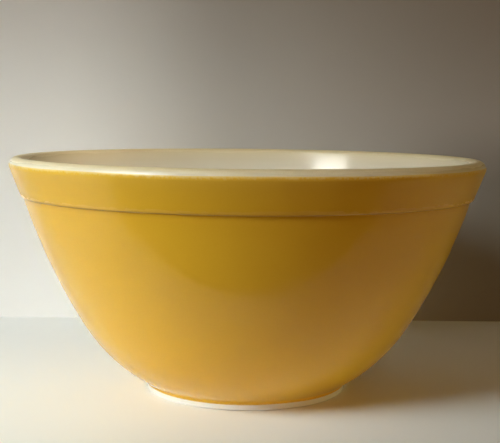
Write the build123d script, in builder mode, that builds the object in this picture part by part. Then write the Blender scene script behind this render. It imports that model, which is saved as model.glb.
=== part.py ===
from build123d import *
import os
from math import asin, cos, degrees, radians, sin

# A pressed white glass mixing bowl with a coat of fired enamel on its outside.
# Millimetres, +Z up, the origin at the centre of the circle that the foot stands on.
# A "lean" is the angle between a line of the wall and the vertical, in degrees.

os.makedirs("parts", exist_ok=True)

# Overall size
rim_radius = 132.0
height = 131.0

# Lip: a rounded edge whose crest is nearer to the inside than to the outside
lip_round = 4.2

# Band: the thicker ring that runs round the bowl under the lip
band_lean = 21.0
band_length = 15.8
ledge_lean = 82.0
ledge_round = 1.0

# Wall: a long gentle arc, then a tighter knee that runs down to the foot
wall_lean = 17.4
knee_lean = 31.7
foot_lean = 60.0
wall_radius = 315.0
knee_radius = 96.5
wall_thickness = 5.6

# Inside of the base
floor_height = 6.6
floor_round = 40.0

# Foot: a low ring, with a shallow recess inside it
foot_cove = 2.0
foot_edge_round = 0.8
recess_depth = 1.4
recess_radius = 45.0
recess_wall_width = 3.0
recess_round = 1.5

# Enamel: it stops short of the lip's crest and short of the foot's lower edge
enamel_thickness = 0.25
enamel_top_angle = 15.0
enamel_bottom = 3.0

lip_centre = Vector(rim_radius - lip_round, height - lip_round)


def lip_arc(proud, top_angle):
    """The outer half of the lip, from top_angle above its widest point down to the band."""
    return CenterArc(lip_centre, lip_round + proud, top_angle, -(top_angle + band_lean))


def outside(lip, proud):
    """The outer line from the end of the lip to the top of the foot, moved outwards by proud."""
    band_end = lip @ 1 - band_length * Vector(sin(radians(band_lean)), cos(radians(band_lean)))
    band = Line(lip @ 1, band_end)
    ledge_top = JernArc(band @ 1, band % 1, ledge_round + proud, band_lean - ledge_lean)
    ledge_under = JernArc(ledge_top @ 1, ledge_top % 1, ledge_round - proud, ledge_lean - wall_lean)
    wall = JernArc(ledge_under @ 1, ledge_under % 1, wall_radius + proud, wall_lean - knee_lean)
    knee = JernArc(wall @ 1, wall % 1, knee_radius + proud, knee_lean - foot_lean)
    cove = JernArc(knee @ 1, knee % 1, foot_cove - proud, foot_lean)
    return wall, knee, cove


# Glass bowl: the whole white body, in one pressed piece
with BuildPart() as glass_bowl:
    with BuildSketch(Plane.XZ) as section:
        with BuildLine():
            outer_lip = lip_arc(0, 90)
            wall, knee, cove = outside(outer_lip, 0)
            foot_side = Line(cove @ 1, ((cove @ 1).X, foot_edge_round))
            foot_edge = JernArc(foot_side @ 1, (0, -1), foot_edge_round, -90)

            # Underside
            land = Line(foot_edge @ 1, (recess_radius + recess_wall_width, 0))
            recess_wall = Line(land @ 1, (recess_radius, recess_depth))
            recess = Line(recess_wall @ 1, (0, recess_depth))
            axis_line = Line(recess @ 1, (0, floor_height))

            # Inside: the same arcs as outside, closer to their centres by the wall's thickness
            inner_knee_radius = knee_radius - wall_thickness
            knee_drop = knee.arc_center.Y - floor_height - floor_round
            floor_lean = degrees(asin(knee_drop / (inner_knee_radius - floor_round)))
            inner_wall = CenterArc(
                wall.arc_center, wall_radius - wall_thickness, -wall_lean, wall_lean - knee_lean
            )
            inner_knee = JernArc(inner_wall @ 1, inner_wall % 1, inner_knee_radius, knee_lean - floor_lean)
            floor_arc = JernArc(inner_knee @ 1, inner_knee % 1, floor_round, floor_lean - 90)
            floor = Line(floor_arc @ 1, axis_line @ 1)

            # The inside of the lip is the arc that touches both the crest and the inner wall's line
            across = (outer_lip @ 0) - (inner_wall @ 0)
            lean = radians(wall_lean)
            inner_lip_round = (across.X * cos(lean) - across.Y * sin(lean)) / (1 - sin(lean))
            inner_lip = JernArc(outer_lip @ 0, (-1, 0), inner_lip_round, 90 - wall_lean)
            inner_band = Line(inner_lip @ 1, inner_wall @ 0)
        make_face()
        for corner in (recess_wall @ 0, recess_wall @ 1):
            fillet(section.vertices().sort_by_distance(corner)[0], recess_round)
    revolve(axis=Axis.Z)
glass_bowl.part.label = "glass_bowl"

# Enamel coat: a thin layer on the outside of the glass, from the lip to just above the foot's edge
with BuildPart() as enamel_coat:
    with BuildSketch(Plane.XZ):
        with BuildLine():
            edges = []
            for proud in (0, enamel_thickness):
                top = lip_arc(proud, enamel_top_angle)
                bottom = outside(top, proud)[-1]
                side = Line(bottom @ 1, ((bottom @ 1).X, enamel_bottom))
                edges.append((top @ 0, side @ 1))
            Line(edges[0][0], edges[1][0])
            Line(edges[0][1], edges[1][1])
        make_face()
    revolve(axis=Axis.Z)
enamel_coat.part.label = "enamel_coat"

export_step(glass_bowl.part, "parts/glass_bowl.step")
export_step(enamel_coat.part, "parts/enamel_coat.step")
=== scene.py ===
import bpy
from math import asin, ceil, copysign, cos, degrees, exp, pi, radians, sin
from mathutils import Matrix, Vector, noise


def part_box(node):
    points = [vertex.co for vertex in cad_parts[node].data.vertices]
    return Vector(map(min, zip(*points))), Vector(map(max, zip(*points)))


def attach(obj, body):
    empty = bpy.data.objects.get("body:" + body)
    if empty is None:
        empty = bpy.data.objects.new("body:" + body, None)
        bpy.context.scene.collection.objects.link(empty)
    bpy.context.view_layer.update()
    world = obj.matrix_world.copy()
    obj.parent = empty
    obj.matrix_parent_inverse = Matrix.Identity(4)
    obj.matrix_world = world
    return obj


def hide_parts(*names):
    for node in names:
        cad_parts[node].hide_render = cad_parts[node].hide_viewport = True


# A white opal glass mixing bowl with golden yellow enamel fired on its outside.
# Metres, +Z up, the origin at the centre of the circle that the foot stands on.
# A "lean" is the angle between a line of the wall and the vertical, in degrees.

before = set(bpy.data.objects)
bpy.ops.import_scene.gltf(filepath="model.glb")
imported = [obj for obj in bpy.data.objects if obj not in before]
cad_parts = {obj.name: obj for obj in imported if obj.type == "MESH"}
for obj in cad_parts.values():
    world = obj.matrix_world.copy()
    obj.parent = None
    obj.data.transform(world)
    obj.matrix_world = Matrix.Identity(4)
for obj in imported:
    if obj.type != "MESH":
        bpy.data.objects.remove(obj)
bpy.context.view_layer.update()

MM = 0.001

# Overall size, from the CAD parts
glass_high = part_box("glass_bowl")[1]
coat_low, coat_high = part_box("enamel_coat")
RIM_RADIUS = glass_high.x
HEIGHT = glass_high.z
ENAMEL_THICKNESS = 0.8 * (coat_high.x - glass_high.x)
ENAMEL_BOTTOM = coat_low.z

# The section, as the CAD part has it
LIP_ROUND = 4.2 * MM
BAND_LEAN = 21.0
BAND_LENGTH = 15.8 * MM
LEDGE_LEAN = 82.0
LEDGE_ROUND = 1.0 * MM
WALL_LEAN = 17.4
KNEE_LEAN = 31.7
FOOT_LEAN = 60.0
WALL_RADIUS = 315.0 * MM
KNEE_RADIUS = 96.5 * MM
WALL_THICKNESS = 5.6 * MM
FLOOR_HEIGHT = 6.6 * MM
FLOOR_ROUND = 40.0 * MM
FOOT_COVE = 2.0 * MM
FOOT_EDGE_ROUND = 0.8 * MM
RECESS_DEPTH = 1.4 * MM
RECESS_RADIUS = 45.0 * MM
RECESS_WALL_WIDTH = 3.0 * MM
RECESS_ROUND = 1.5 * MM
ENAMEL_TOP_ANGLE = 15.0

# How finely the shapes are divided
SEGMENTS = 360
LONGEST_STEP = 2.6 * MM
LARGEST_TURN = 7.5

# Unevenness of the pressed glass: its height, the length of a hump, and where it starts
GLASS_WAVE = 0.05 * MM
GLASS_WAVE_LENGTH = 26 * MM
GLASS_WAVE_SEED = 3.1
CALM_BELOW_LIP = 12 * MM
CALM_ROUND_AXIS = 6 * MM

# The same for the enamel, and how its edges wander and thin out
COAT_WAVE = 0.04 * MM
COAT_WAVE_LENGTH = 30 * MM
COAT_WAVE_SEED = 7.7
COAT_EDGE_WAVE = 0.25 * MM
COAT_EDGE_REACH = 6.0 * MM
COAT_EDGE_WIDTH = 0.9 * MM
COAT_EDGE_STEPS = (0, 0.02, 0.08, 0.18, 0.33, 0.55, 0.8, 1.1)
COAT_EDGE_THICKNESS = 0.05 * MM
COAT_GAP = 0.01 * MM
TOP_EDGE_SLOWNESS = 0.4

# Colours, in linear light. A pair is the darker and the paler side of a soft clouding.
OPAL = (0.85, 0.835, 0.785), (0.89, 0.875, 0.83)
# Partly the enamel's colour seen through the glass, partly painted warm shade of the inside
OPAL_BACKING_AND_SHADE = (0.73, 0.65, 0.49)
# Partly enamel mist on the lip, partly painted shade of the lip
OPAL_RIM_MIST_AND_SHADE = (0.73, 0.60, 0.32)
UTENSIL_GREY = (0.42, 0.42, 0.41)
FOOT_GRIME = (0.46, 0.43, 0.38)
ENAMEL = (0.80, 0.455, 0.026), (0.86, 0.505, 0.036)
ENAMEL_FLECK = (0.75, 0.40, 0.02)
ENAMEL_POOLED = (0.73, 0.38, 0.016)
ENAMEL_WORN = (0.87, 0.62, 0.12)
ENAMEL_NEAR_LIP = (0.86, 0.62, 0.18)
ENAMEL_SHEER = (0.87, 0.71, 0.33)
STUDIO_PALE = (0.835, 0.85, 0.86), (0.855, 0.87, 0.88)
# Painted shade and a painted shadow of the bowl on the backdrop
BOARD_PAINTED_SHADE = (0.10, 0.085, 0.06)
CARD_BLACK = (0.03, 0.025, 0.02, 1.0)
ROOM_GLOW = (0.105, 0.078, 0.045, 1.0)

# The studio stage
STAGE_REACH = 8.0
BOARD_BACK = 0.188
BOARD_HEIGHT = 1.8
CARD_FRONT = -0.15
CARD_LIFT = MM
FLOOR_HOLE = 55 * MM
FLOOR_SIDES = 96

# The camera. Its distance and its rise above the rim are in rim radii, and its turns in degrees.
CAMERA_DISTANCE = 4.5
CAMERA_RISE = 0.1935
CAMERA_YAW = -0.16
CAMERA_PITCH = 84.0
CAMERA_ROLL = 0.6
SENSOR_WIDTH = 36.0
LENS_LENGTH = 75.4


class Profile:
    """A line of straight runs and arcs in the plane of radius and height.
    Each run is tangent to the one before."""

    def __init__(self, start, heading):
        self.end = Vector(start)
        self.heading = radians(heading)
        self.length = 0.0
        self.runs = []

    def run(self, length, turn=0.0):
        """Adds a run that turns by turn degrees along its length, anticlockwise if above 0."""
        self.runs.append((self.length, length, self.end, self.heading, radians(turn)))
        self.length += length
        self.end = self.at(self.length)[0]
        self.heading += radians(turn)

    def arc(self, radius, turn):
        """Adds an arc and returns its centre."""
        centre = self.end + left_of(self.heading) * copysign(radius, turn)
        self.run(radius * radians(abs(turn)), turn)
        return centre

    def at(self, distance):
        """The point that far along the line, and the unit vector to the left of the line there."""
        reached = [run for run in self.runs if run[0] <= distance]
        begin, length, point, heading, turn = (reached or self.runs[:1])[-1]
        heading_here = heading + turn * (distance - begin) / length
        if turn:
            radius = length / turn
            point = point + (left_of(heading) - left_of(heading_here)) * radius
        else:
            point = point + left_of(heading - pi / 2) * (distance - begin)
        return point, left_of(heading_here)

    def stops(self):
        """Distances along the line at which to sample it, closer together where it turns."""
        found = [0.0]
        for begin, length, _, _, turn in self.runs:
            steps = max(1, ceil(length / LONGEST_STEP), ceil(degrees(abs(turn)) / LARGEST_TURN))
            found += [begin + length * (k + 1) / steps for k in range(steps)]
        return found


def left_of(heading):
    """The unit vector to the left of a line that runs in that direction."""
    return Vector((-sin(heading), cos(heading)))


def smooth(value):
    """0 below 0, 1 above 1, and a smooth rise between."""
    value = min(1.0, max(0.0, value))
    return value * value * (3 - 2 * value)


def bell(distance, width):
    """1 at distance 0, and falling off smoothly on both sides."""
    return exp(-((distance / width) ** 2))


def outside_profile():
    """From the crest of the lip down the outside to the middle of the underside.
    It also carries the wall's and knee's centres, and where the ledge and the coat's end are."""
    line = Profile((RIM_RADIUS - LIP_ROUND, HEIGHT), 0)
    line.arc(LIP_ROUND, -(90 + BAND_LEAN))
    line.run(BAND_LENGTH)
    line.arc(LEDGE_ROUND, -(LEDGE_LEAN - BAND_LEAN))
    line.ledge = line.length
    line.arc(LEDGE_ROUND, LEDGE_LEAN - WALL_LEAN)
    line.wall_centre = line.arc(WALL_RADIUS, -(KNEE_LEAN - WALL_LEAN))
    line.knee_centre = line.arc(KNEE_RADIUS, -(FOOT_LEAN - KNEE_LEAN))
    line.arc(FOOT_COVE, FOOT_LEAN)
    line.coat_end = line.length + line.end.y - ENAMEL_BOTTOM
    line.run(line.end.y - FOOT_EDGE_ROUND)
    line.arc(FOOT_EDGE_ROUND, -90)
    slope = Vector((RECESS_WALL_WIDTH, RECESS_DEPTH))
    rise = degrees(asin(RECESS_DEPTH / slope.length))
    corner = RECESS_ROUND * sin(radians(rise)) / (1 + cos(radians(rise)))
    line.run(line.end.x - RECESS_RADIUS - RECESS_WALL_WIDTH - corner)
    line.arc(RECESS_ROUND, -rise)
    line.run(slope.length - 2 * corner)
    line.arc(RECESS_ROUND, rise)
    line.run(line.end.x)
    return line


def inside_profile(outside):
    """From the crest of the lip down the inside to the middle of the floor."""
    lean = radians(WALL_LEAN)
    inner_wall_radius = WALL_RADIUS - WALL_THICKNESS
    inner_knee_radius = KNEE_RADIUS - WALL_THICKNESS
    wall_top = outside.wall_centre + Vector((cos(lean), -sin(lean))) * inner_wall_radius
    knee_drop = outside.knee_centre.y - FLOOR_HEIGHT - FLOOR_ROUND
    floor_lean = degrees(asin(knee_drop / (inner_knee_radius - FLOOR_ROUND)))
    crest = outside.at(0)[0]
    across = crest - wall_top
    line = Profile(crest, 180)
    line.arc((across.x * cos(lean) - across.y * sin(lean)) / (1 - sin(lean)), 90 - WALL_LEAN)
    line.run((wall_top - line.end).length)
    line.arc(inner_wall_radius, -(KNEE_LEAN - WALL_LEAN))
    line.arc(inner_knee_radius, -(floor_lean - KNEE_LEAN))
    line.arc(FLOOR_ROUND, -(90 - floor_lean))
    line.run(line.end.x)
    return line


def around(angle, point):
    """A point of the section, turned round the axis."""
    return Vector((point.x * cos(angle), point.x * sin(angle), point.y))


def waves(place, length, seed):
    """Smooth unevenness from 0 to 1, with humps about as long as length."""
    shift = Vector((seed, 2.7 * seed, -1.3 * seed))
    broad = noise.noise(place / length + shift)
    fine = noise.noise(place / length * 2.3 - shift)
    return min(1.0, max(0.0, 0.5 + 0.55 * broad + 0.25 * fine))


def wander(angle, humps, seed):
    """How far an edge of the coat strays there from its even line."""
    ring = Vector((cos(angle), sin(angle), 0)) * humps
    return COAT_EDGE_WAVE * noise.noise(ring + Vector((0, 0, seed)))


def lathe(name, column, closed, marks):
    """A mesh turned round the Z axis. column(angle) is its outline there, as points of the
    section. A closed outline goes back to its first point, and an open one starts and ends on
    the axis. marks are values for the outline's points, by the name that a material uses."""
    columns = [column(2 * pi * k / SEGMENTS) for k in range(SEGMENTS)]
    count = len(columns[0])
    rows = range(count) if closed else range(1, count - 1)
    places, outline_rows = [], []
    for k, points in enumerate(columns):
        places += [around(2 * pi * k / SEGMENTS, points[row]) for row in rows]
        outline_rows += rows
    tall = len(rows)
    faces = []
    for k in range(SEGMENTS):
        here, there = k * tall, (k + 1) % SEGMENTS * tall
        for row in range(tall if closed else tall - 1):
            above = (row + 1) % tall
            faces.append((here + row, there + row, there + above, here + above))
    if not closed:
        places += [Vector((0, 0, columns[0][0].y)), Vector((0, 0, columns[0][-1].y))]
        outline_rows += [0, count - 1]
        first, last = len(places) - 2, len(places) - 1
        for k in range(SEGMENTS):
            here, there = k * tall, (k + 1) % SEGMENTS * tall
            faces.append((first, there, here))
            faces.append((last, here + tall - 1, there + tall - 1))
    mesh = bpy.data.meshes.new(name)
    mesh.from_pydata(places, [], faces)
    for mark, values in marks.items():
        layer = mesh.attributes.new(mark, "FLOAT", "POINT")
        layer.data.foreach_set("value", [values[row] for row in outline_rows])
    mesh.shade_smooth()
    mesh.validate()
    piece = bpy.data.objects.new(name, mesh)
    bpy.context.scene.collection.objects.link(piece)
    return piece


def glass_piece(outside, inside):
    """The pressed glass body, with the faint unevenness that pressing leaves on its inside."""
    out_stops = outside.stops()[::-1]
    in_stops = inside.stops()[1:]
    out_points = [outside.at(s)[0] for s in out_stops]

    def column(angle):
        points = list(out_points)
        for s in in_stops:
            point, left = inside.at(s)
            calm = smooth(s / CALM_BELOW_LIP) * smooth(point.x / CALM_ROUND_AXIS)
            hump = waves(around(angle, point), GLASS_WAVE_LENGTH, GLASS_WAVE_SEED)
            points.append(point + left * GLASS_WAVE * calm * hump)
        return points

    def backing_and_shade(s):
        """How much warm tint the inside gets: partly the enamel's colour seen through the glass,
        partly painted warm shade.
        It is most just below the lip, and none on the lip itself and over the foot."""
        near_lip = 0.45 + 0.55 * bell(s, 22 * MM)
        off_foot = smooth((inside.at(s)[0].x - 40 * MM) / (30 * MM))
        return near_lip * smooth(s / (9 * MM)) * off_foot

    marks = {
        "inside": [0.0] * len(out_stops) + [smooth(s / (5 * MM)) for s in in_stops],
        "backing_and_shade": [0.0] * len(out_stops) + [backing_and_shade(s) for s in in_stops],
        "rim": [bell(s, 6.5 * MM) for s in out_stops + in_stops],
    }
    return lathe("glass_bowl_body", column, False, marks)


def coat_piece(outside):
    """The enamel: a thin skin with rounded, slightly wandering edges at the lip and the foot."""
    top = LIP_ROUND * radians(90 - ENAMEL_TOP_ANGLE)
    bottom = outside.coat_end
    edge_steps = [COAT_EDGE_WIDTH * share for share in COAT_EDGE_STEPS]
    clear = edge_steps[-1] + 0.3 * MM
    middle = [s for s in outside.stops() if top + clear < s < bottom - clear]
    stops = [top + e for e in edge_steps] + middle + [bottom - e for e in edge_steps[::-1]]

    def thickness(s):
        """Full over most of the coat, and rounded off to a thin edge at both ends."""
        near = min(1.0, min(s - top, bottom - s) / COAT_EDGE_WIDTH)
        swell = (1 - (1 - near) ** 2) ** 0.5
        return COAT_EDGE_THICKNESS + (ENAMEL_THICKNESS - COAT_EDGE_THICKNESS) * swell

    def column(angle):
        up = wander(angle, 3.3, 5.2)
        down = wander(angle, 2.42, 9.7)
        outer, inner = [], []
        for s in stops:
            fade_up = smooth(1 - (s - top) / COAT_EDGE_REACH)
            fade_down = smooth(1 - (bottom - s) / COAT_EDGE_REACH)
            point, left = outside.at(s + up * fade_up + down * fade_down)
            hump = COAT_WAVE * smooth(min(s - top, bottom - s) / COAT_EDGE_REACH)
            uneven = hump * waves(around(angle, point), COAT_WAVE_LENGTH, COAT_WAVE_SEED)
            outer.append(point + left * (thickness(s) - uneven))
            inner.append(point + left * COAT_GAP)
        return outer + inner[::-1]

    outer_marks = {
        "edge": [min(TOP_EDGE_SLOWNESS * (s - top), bottom - s) for s in stops],
        "pool": [bell(s - outside.ledge - 0.8 * MM, 1.5 * MM) for s in stops],
        "thin": [bell(s - outside.ledge + 0.6 * MM, 0.9 * MM) for s in stops],
        "pale": [exp(-(s - top) / (5 * MM)) for s in stops],
    }
    marks = {mark: values + values[::-1] for mark, values in outer_marks.items()}
    return lathe("enamel_coat_skin", column, True, marks)


def add(tree, kind, settings=None, inputs=None):
    """Adds a shader node. An input is a value, or another node's output to link."""
    made = tree.nodes.new("ShaderNode" + kind)
    for name, value in (settings or {}).items():
        setattr(made, name, value)
    for name, value in (inputs or {}).items():
        socket = made.inputs[name]
        if isinstance(value, bpy.types.NodeSocket):
            tree.links.new(value, socket)
        else:
            socket.default_value = value
    return made


def sums(tree, operation, a, b, clamp=False):
    settings = {"operation": operation, "use_clamp": clamp}
    return add(tree, "Math", settings, {0: a, 1: b}).outputs[0]


def plus(tree, a, b):
    return sums(tree, "ADD", a, b)


def times(tree, a, b):
    return sums(tree, "MULTIPLY", a, b)


def blotches(tree, where, size, detail=2.0):
    """Noise from 0 to 1, with blotches about as large as size."""
    inputs = {"Vector": where, "Scale": 1 / size, "Detail": detail, "Roughness": 0.5}
    return add(tree, "TexNoise", None, inputs).outputs["Fac"]


def remap(tree, value, low, high, to_low=0.0, to_high=1.0):
    """Takes value from the range low to high into another one, smoothly and without leaving it."""
    ends = {"From Min": low, "From Max": high, "To Min": to_low, "To Max": to_high}
    settings = {"interpolation_type": "SMOOTHSTEP"}
    return add(tree, "MapRange", settings, {"Value": value, **ends}).outputs["Result"]


def blend(tree, share, one, other):
    """Colour one where share is 0, and colour other where it is 1."""
    made = add(tree, "Mix", {"data_type": "RGBA"}, {"Factor": share})
    for socket, value in ((made.inputs[6], one), (made.inputs[7], other)):
        if isinstance(value, bpy.types.NodeSocket):
            tree.links.new(value, socket)
        else:
            socket.default_value = (*value, 1.0)
    return made.outputs[2]


def mark(tree, name):
    """A value that lathe wrote on the mesh under that name."""
    return add(tree, "Attribute", {"attribute_name": name}).outputs["Fac"]


def new_material(name):
    """A material, its nodes, its shader, and the place on the object that its patterns use."""
    material = bpy.data.materials.new(name)
    material.use_nodes = True
    tree = material.node_tree
    shader = tree.nodes["Principled BSDF"]
    where = add(tree, "TexCoord").outputs["Object"]
    return material, tree, shader, where


def ring_lines(tree, where, width, seed):
    """Noise drawn out along circles round the axis, as a whisk or a turning tool leaves it."""
    split = add(tree, "SeparateXYZ", None, {0: where})
    flat = add(tree, "CombineXYZ", None, {0: split.outputs[0], 1: split.outputs[1]}).outputs[0]
    out = add(tree, "VectorMath", {"operation": "LENGTH"}, {0: flat}).outputs["Value"]
    way = add(tree, "VectorMath", {"operation": "NORMALIZE"}, {0: flat}).outputs[0]
    split_way = add(tree, "SeparateXYZ", None, {0: way})
    across = plus(tree, sums(tree, "DIVIDE", out, width), seed)
    polar = {0: split_way.outputs[0], 1: split_way.outputs[1], 2: across}
    polar = add(tree, "CombineXYZ", None, polar).outputs[0]
    inputs = {"Vector": polar, "Scale": 1.0, "Detail": 1.0}
    return add(tree, "TexNoise", None, inputs).outputs["Fac"]


def opal_glass():
    """Milk-white pressed glass: glossy, slightly translucent, with utensil marks, a worn foot."""
    material, tree, shader, where = new_material("opal_glass")
    height = add(tree, "SeparateXYZ", None, {0: where}).outputs[2]
    inside = mark(tree, "inside")
    colour = blend(tree, blotches(tree, where, 45 * MM), *OPAL)

    # Warm tint below the lip: partly the enamel's colour seen through the glass, partly painted
    # warm shade of the inside. A darker warm tint on the rounded rim: partly enamel mist, partly
    # painted shade
    colour = blend(tree, times(tree, mark(tree, "backing_and_shade"), 0.9), colour, OPAL_BACKING_AND_SHADE)
    rim = mark(tree, "rim")
    colour = blend(tree, times(tree, rim, 0.95), colour, OPAL_RIM_MIST_AND_SHADE)

    # Marks of whisks and spoons on the inside, most of them low down
    low = times(tree, inside, remap(tree, height, 25 * MM, 85 * MM, 1.0, 0.15))
    arcs = remap(tree, ring_lines(tree, where, 0.55 * MM, 4.0), 0.67, 0.76)
    broken = remap(tree, blotches(tree, where, 14 * MM, 3.0), 0.45, 0.62)
    scratch = times(tree, times(tree, arcs, broken), low)
    colour = blend(tree, times(tree, scratch, 0.4), colour, UTENSIL_GREY)

    # The face that the bowl stands on is ground dull and holds a little dirt
    worn = remap(tree, height, 0.12 * MM, 0.6 * MM, 1.0, 0.0)
    grime = times(tree, worn, remap(tree, blotches(tree, where, 3 * MM, 4.0), 0.3, 0.7))
    colour = blend(tree, times(tree, grime, 0.35), colour, FOOT_GRIME)
    tree.links.new(colour, shader.inputs["Base Color"])

    rough = remap(tree, blotches(tree, where, 30 * MM, 4.0), 0.3, 0.75, 0.05, 0.11)
    rough = plus(tree, rough, times(tree, scratch, 0.25))
    rough = plus(tree, rough, times(tree, worn, 0.35))
    rough = plus(tree, rough, times(tree, rim, 0.28))
    tree.links.new(rough, shader.inputs["Roughness"])

    # Fine ripples all over, and the turned rings of the mould under the foot
    under = remap(tree, height, 1.2 * MM, 1.6 * MM, 1.0, 0.0)
    under = times(tree, under, sums(tree, "SUBTRACT", 1.0, inside))
    rings = times(tree, ring_lines(tree, where, 1.1 * MM, 9.0), times(tree, under, 4.0))
    ripple = plus(tree, blotches(tree, where, 5 * MM), rings)
    bump = add(tree, "Bump", None, {"Height": ripple, "Strength": 1.0, "Distance": 0.006 * MM})
    tree.links.new(bump.outputs[0], shader.inputs["Normal"])

    shader.inputs["IOR"].default_value = 1.5
    shader.inputs["Subsurface Weight"].default_value = 0.25
    shader.inputs["Subsurface Radius"].default_value = (1.0, 0.85, 0.7)
    shader.inputs["Subsurface Scale"].default_value = 2.5 * MM
    return material


def yellow_enamel():
    """Golden yellow fired enamel: glossy, clouded and flecked, pale at its edges."""
    material, tree, shader, where = new_material("yellow_enamel")
    colour = blend(tree, blotches(tree, where, 55 * MM, 3.0), *ENAMEL)
    fleck = remap(tree, blotches(tree, where, 0.7 * MM), 0.3, 0.7, 0.0, 0.16)
    colour = blend(tree, fleck, colour, ENAMEL_FLECK)

    # Deeper where it pooled under the band, worn along the ledge's edge, and pale near the lip
    colour = blend(tree, times(tree, mark(tree, "pool"), 0.5), colour, ENAMEL_POOLED)
    breaks = remap(tree, blotches(tree, where, 7 * MM), 0.35, 0.65, 0.5, 1.0)
    thin = times(tree, mark(tree, "thin"), breaks)
    colour = blend(tree, times(tree, thin, 0.15), colour, ENAMEL_WORN)
    colour = blend(tree, times(tree, mark(tree, "pale"), 0.2), colour, ENAMEL_NEAR_LIP)

    # The white glass shows through an uneven strip at each edge: up to 2 mm wide at the lip and
    # up to 0.8 mm above the foot
    uneven = remap(tree, blotches(tree, where, 1.6 * MM, 3.0), 0.3, 0.7, 0.25 * MM, 0.8 * MM)
    covered = sums(tree, "DIVIDE", mark(tree, "edge"), uneven)
    sheer = sums(tree, "SUBTRACT", 1.0, covered, clamp=True)
    colour = blend(tree, times(tree, sheer, 0.75), colour, ENAMEL_SHEER)
    tree.links.new(colour, shader.inputs["Base Color"])

    haze = remap(tree, blotches(tree, where, 38 * MM, 5.0), 0.3, 0.75, 0.14, 0.25)
    tree.links.new(plus(tree, haze, times(tree, thin, 0.25)), shader.inputs["Roughness"])

    # Orange peel
    peel = plus(tree, blotches(tree, where, 2.4 * MM, 1.0), blotches(tree, where, 9 * MM, 1.0))
    bump = add(tree, "Bump", None, {"Height": peel, "Strength": 1.0, "Distance": 0.005 * MM})
    tree.links.new(bump.outputs[0], shader.inputs["Normal"])
    shader.inputs["IOR"].default_value = 1.45
    return material


def pale_colour(tree, where):
    """The studio's pale grey, very slightly clouded."""
    return blend(tree, blotches(tree, where, 0.35, 3.0), *STUDIO_PALE)


def see_through_from_behind(tree, shader):
    """Makes a sheet clear from behind, so that it never hides the bowl."""
    behind = add(tree, "NewGeometry").outputs["Backfacing"]
    clear = add(tree, "BsdfTransparent")
    inputs = {0: behind, 1: shader.outputs[0], 2: clear.outputs[0]}
    mixed = add(tree, "MixShader", None, inputs)
    tree.links.new(mixed.outputs[0], tree.nodes["Material Output"].inputs["Surface"])


def floor_paint():
    """A plain pale studio floor with a soft, very slightly uneven surface."""
    material, tree, shader, where = new_material("floor_paint")
    tree.links.new(pale_colour(tree, where), shader.inputs["Base Color"])
    rough = remap(tree, blotches(tree, where, 0.12, 3.0), 0.3, 0.7, 0.5, 0.6)
    tree.links.new(rough, shader.inputs["Roughness"])
    see_through_from_behind(tree, shader)
    return material


def backdrop_with_painted_shade():
    """The same pale colour, with painted shade that darkens it upwards and to the right where the
    window's light falls off, and a painted shadow of the bowl low down on the right.
    """
    material, tree, shader, where = new_material("backdrop_with_painted_shade")
    side, _, height = add(tree, "SeparateXYZ", None, {0: where}).outputs
    colour = pale_colour(tree, where)
    # Painted shade: darker upwards and to the right, where the window's light falls off
    colour = blend(tree, remap(tree, height, 0.13, 0.26, 0.0, 0.13), colour, BOARD_PAINTED_SHADE)
    colour = blend(tree, remap(tree, side, -0.145, 0.0, 0.0, 0.45), colour, BOARD_PAINTED_SHADE)
    colour = blend(tree, remap(tree, side, 0.0, 0.2, 0.0, 0.25), colour, BOARD_PAINTED_SHADE)
    # Painted shadow of the bowl, low down at the right
    bowl_shadow_side = remap(tree, side, 0.08, 0.19, 0.0, 0.6)
    bowl_shadow_low = remap(tree, height, 0.1, 0.16, 1.0, 0.0)
    colour = blend(tree, times(tree, bowl_shadow_side, bowl_shadow_low), colour, BOARD_PAINTED_SHADE)
    tree.links.new(colour, shader.inputs["Base Color"])
    shader.inputs["Roughness"].default_value = 0.7
    see_through_from_behind(tree, shader)
    return material


def dark_card():
    """Dull black card."""
    material, tree, shader, _ = new_material("dark_card")
    shader.inputs["Base Color"].default_value = CARD_BLACK
    shader.inputs["Roughness"].default_value = 1.0
    shader.inputs["Specular IOR Level"].default_value = 0.0
    see_through_from_behind(tree, shader)
    return material


def sheet(name, corners, material, faces=((0, 1, 2, 3),)):
    """A flat sheet of the stage. The corners of a face run anticlockwise seen from its front."""
    mesh = bpy.data.meshes.new(name)
    mesh.from_pydata(corners, [], faces)
    mesh.materials.append(material)
    made = bpy.data.objects.new(name, mesh)
    bpy.context.scene.collection.objects.link(made)
    return made


def studio_floor():
    """A floor with a hole that the foot covers, so that light from below reaches the underside."""
    corners, faces = [], []
    for k in range(FLOOR_SIDES):
        turn = Vector((cos(2 * pi * k / FLOOR_SIDES), sin(2 * pi * k / FLOOR_SIDES), 0))
        corners += [turn * FLOOR_HOLE, turn * STAGE_REACH]
        following = (k + 1) % FLOOR_SIDES
        faces.append((2 * k, 2 * k + 1, 2 * following + 1, 2 * following))
    sheet("studio_floor", corners, floor_paint(), faces)


def studio_stage():
    """A pale floor, a board with painted shade standing behind the bowl, and a dark card just
    above the floor in front. The card stands in for the dark room beyond the table's edge. The
    bowl reflects it, but no camera sees it."""
    studio_floor()
    out, back, tall = STAGE_REACH, BOARD_BACK, BOARD_HEIGHT
    board = [(-out, back, 0), (out, back, 0), (out, back, tall), (-out, back, tall)]
    sheet("backdrop", board, backdrop_with_painted_shade())
    front, up = CARD_FRONT, CARD_LIFT
    low = [(-out, -out, up), (out, -out, up), (out, front, up), (-out, front, up)]
    card = sheet("front_flag", low, dark_card())
    card.visible_camera = False
    card.visible_shadow = False
    card.visible_transmission = False
    card.visible_volume_scatter = False


def towards(azimuth, elevation):
    """The unit vector elevation degrees up, and azimuth degrees from -Y round to -X."""
    turn, rise = radians(azimuth), radians(elevation)
    return Vector((-sin(turn) * cos(rise), -cos(turn) * cos(rise), sin(rise)))


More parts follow.
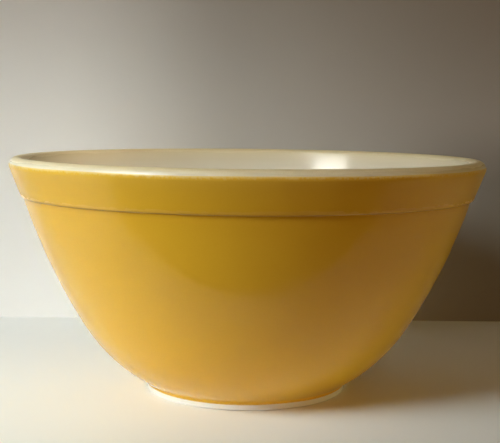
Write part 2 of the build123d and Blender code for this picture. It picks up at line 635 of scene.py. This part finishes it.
def area_light(name, way, distance, size, power, colour, aim=None, spread=180.0):
    """A soft oval light that far from the bowl in the direction way, and not itself in view.
    size is its width and height. It faces aim, or else the bowl, and its beam is spread degrees
    wide."""
    middle = Vector((0, 0, HEIGHT / 2))
    data = bpy.data.lights.new(name, "AREA")
    data.shape = "ELLIPSE"
    data.size, data.size_y = size
    data.energy = power
    data.color = colour
    data.spread = radians(spread)
    light = bpy.data.objects.new(name, data)
    bpy.context.scene.collection.objects.link(light)
    light.location = middle + way * distance
    light.rotation_euler = (light.location - (aim or middle)).to_track_quat("Z", "Y").to_euler()
    light.visible_camera = False
    return light


def studio_light():
    """Cool daylight from a window on the left, and the dim warm light of the room."""
    # The window's beam is limited, so that it falls off across the bowl and the board
    beside_the_foot = Vector((-0.142, -0.015, 0.02))
    window = area_light(
        "window", towards(54, 29), distance=0.8, size=(0.52, 0.34), power=0.85,
        colour=(0.91, 1.0, 0.975), aim=beside_the_foot, spread=52.0,
    )
    window.visible_glossy = False

    # What the gloss mirrors of the window, high on the far inside of the wall
    glint = area_light(
        "window_glint", towards(54, 31.0), distance=0.83, size=(0.44, 0.2), power=3.1,
        colour=(1.0, 0.98, 0.88),
    )
    glint.visible_diffuse = False

    # A narrow beam on the left inner wall, in place of the light that real glass lets through
    left_inner_wall = Vector((-0.105, 0.07, 0.12))
    area_light(
        "inner_fill", towards(-75, 20), distance=1.2, size=(0.04, 0.04), power=0.0075,
        colour=(1.0, 0.92, 0.8), aim=left_inner_wall, spread=6.0,
    )

    # The dim warm room in front and at the right, and a lamp that shows the underside
    room_size = (3.0, 1.6)
    straight_down = Vector((0, 0, -1))
    area_light(
        "room_front", towards(0, 8), distance=2.5, size=room_size, power=7.0,
        colour=(1.0, 0.28, 0.08),
    )
    area_light(
        "room_right", towards(-85, 8), distance=2.5, size=room_size, power=14.0,
        colour=(1.0, 0.86, 0.27),
    )
    area_light(
        "under_floor", straight_down, distance=0.75, size=(0.6, 0.6), power=2.2,
        colour=(1.0, 0.97, 0.92),
    )
    world = bpy.data.worlds.new("room")
    world.use_nodes = True
    bpy.context.scene.world = world
    background = world.node_tree.nodes["Background"]
    background.inputs["Color"].default_value = ROOM_GLOW
    background.inputs["Strength"].default_value = 1.0


def add_camera():
    """At the photograph's viewpoint: in front, a little above the rim, looking slightly down."""
    data = bpy.data.cameras.new("camera")
    data.sensor_width = SENSOR_WIDTH
    data.lens = LENS_LENGTH
    camera = bpy.data.objects.new("camera", data)
    bpy.context.scene.collection.objects.link(camera)
    camera.location = (0.0, -CAMERA_DISTANCE * RIM_RADIUS, HEIGHT + CAMERA_RISE * RIM_RADIUS)
    yaw = Matrix.Rotation(radians(CAMERA_YAW), 3, "Z")
    pitch = Matrix.Rotation(radians(CAMERA_PITCH), 3, "X")
    roll = Matrix.Rotation(radians(CAMERA_ROLL), 3, "Z")
    camera.rotation_euler = (yaw @ pitch @ roll).to_euler()
    bpy.context.scene.camera = camera


outside = outside_profile()
inside = inside_profile(outside)

glass = glass_piece(outside, inside)
glass.data.materials.append(opal_glass())
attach(glass, "root")
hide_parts("glass_bowl")

coat = coat_piece(outside)
coat.data.materials.append(yellow_enamel())
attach(coat, "root")
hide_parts("enamel_coat")

studio_stage()
studio_light()
add_camera()
bpy.context.scene.view_settings.view_transform = "Standard"
